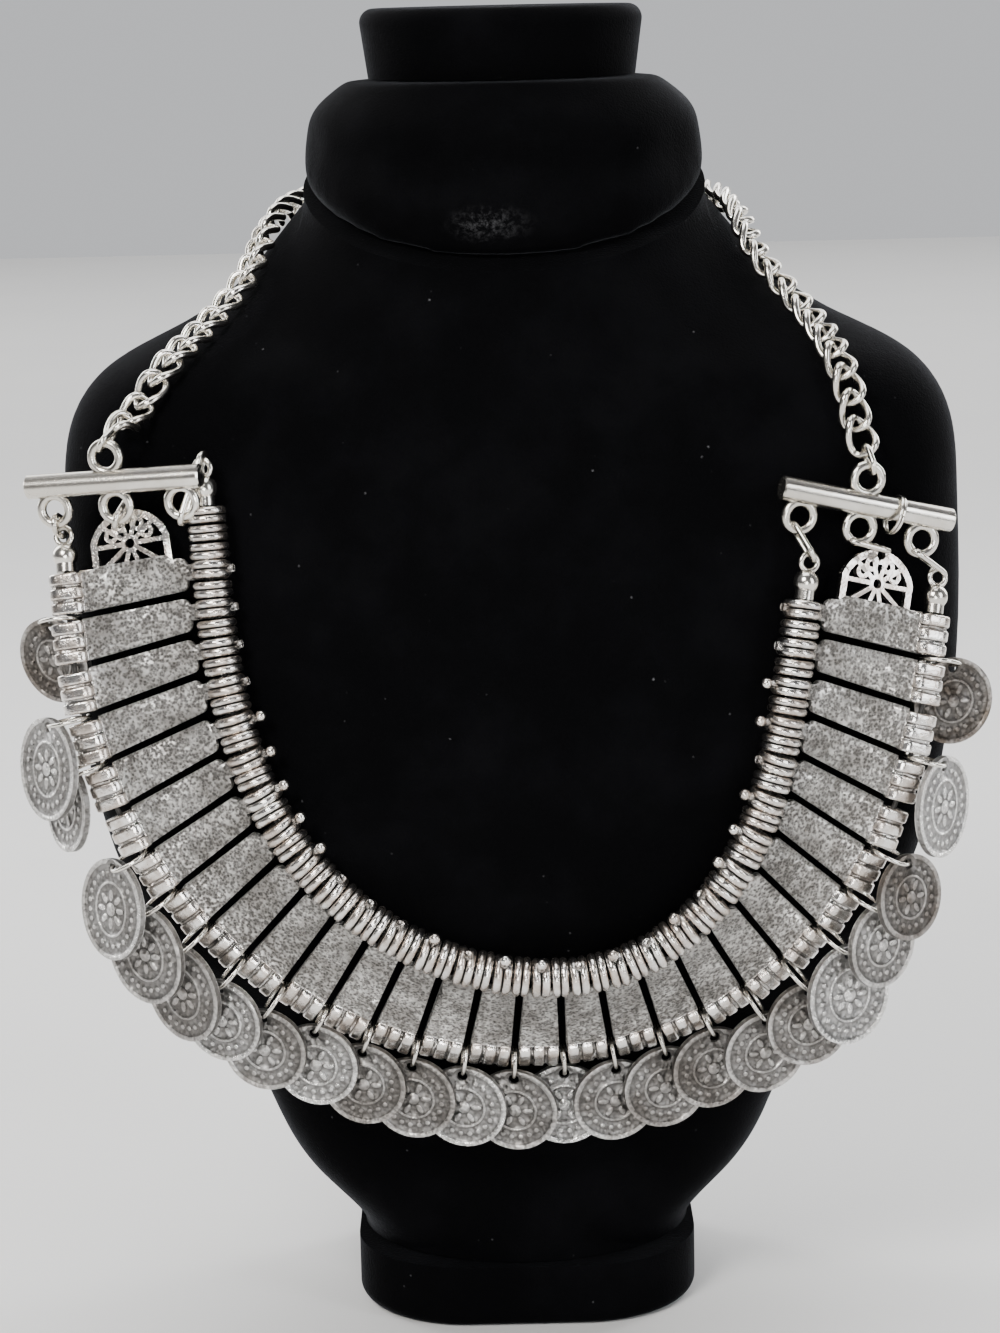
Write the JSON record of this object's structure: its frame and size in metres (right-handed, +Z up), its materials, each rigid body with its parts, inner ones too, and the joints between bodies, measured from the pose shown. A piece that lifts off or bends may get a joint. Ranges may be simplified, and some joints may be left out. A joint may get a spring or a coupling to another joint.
{
  "type": "collar necklace on a neck bust",
  "caption": "Metal collar necklace of pitted plates on two bead strings, with hanging coins, end bars and a curb chain, worn by a plain black velvet neck bust.",
  "frame": {"origin": "centre of the flat underside of the bust's base", "axes": "+Z up, the bust's front faces -Y, +X to the right as seen from the front"},
  "size_m": [0.2034, 0.1249, 0.283],
  "materials": {
    "velvet": "black velvet",
    "plate_metal": "antique silver plating with dark pits",
    "bead_metal": "antique silver plating, worn bright on the rims",
    "coin_bright": "bright silver plating with dark recesses",
    "coin_aged": "aged silver plating with dark recesses",
    "bright_metal": "warm polished silver plating",
    "cord": "waxed black thread"
  },
  "bodies": {
    "root": {"bar_left": "bright_metal", "bar_right": "bright_metal", "bust_base": "velvet", "bust_body": "velvet", "bust_cap": "velvet", "bust_roll": "velvet", "chain_left": "bright_metal", "chain_right": "bright_metal", "clasp": "bright_metal", "coin_rings": "bright_metal", "coins_large": "coin_bright", "coins_small": "coin_aged", "end_plate_left": "plate_metal", "end_plate_right": "plate_metal", "inner_spacers": "bead_metal", "inner_thread": "cord", "links_left": "bright_metal", "links_right": "bright_metal", "outer_thread": "cord", "plate_02": "plate_metal", "plate_03": "plate_metal", "plate_04": "plate_metal", "plate_05": "plate_metal", "plate_06": "plate_metal", "plate_07": "plate_metal", "plate_08": "plate_metal", "plate_09": "plate_metal", "plate_10": "plate_metal", "plate_11": "plate_metal", "plate_12": "plate_metal", "plate_13": "plate_metal", "plate_14": "plate_metal", "plate_15": "plate_metal", "plate_16": "plate_metal", "plate_17": "plate_metal", "plate_18": "plate_metal", "plate_19": "plate_metal", "plate_20": "plate_metal", "plate_21": "plate_metal", "plate_22": "plate_metal", "plate_23": "plate_metal", "plate_24": "plate_metal", "plate_25": "plate_metal", "plate_26": "plate_metal", "plate_27": "plate_metal", "plate_28": "plate_metal"}
  },
  "joints": []
}
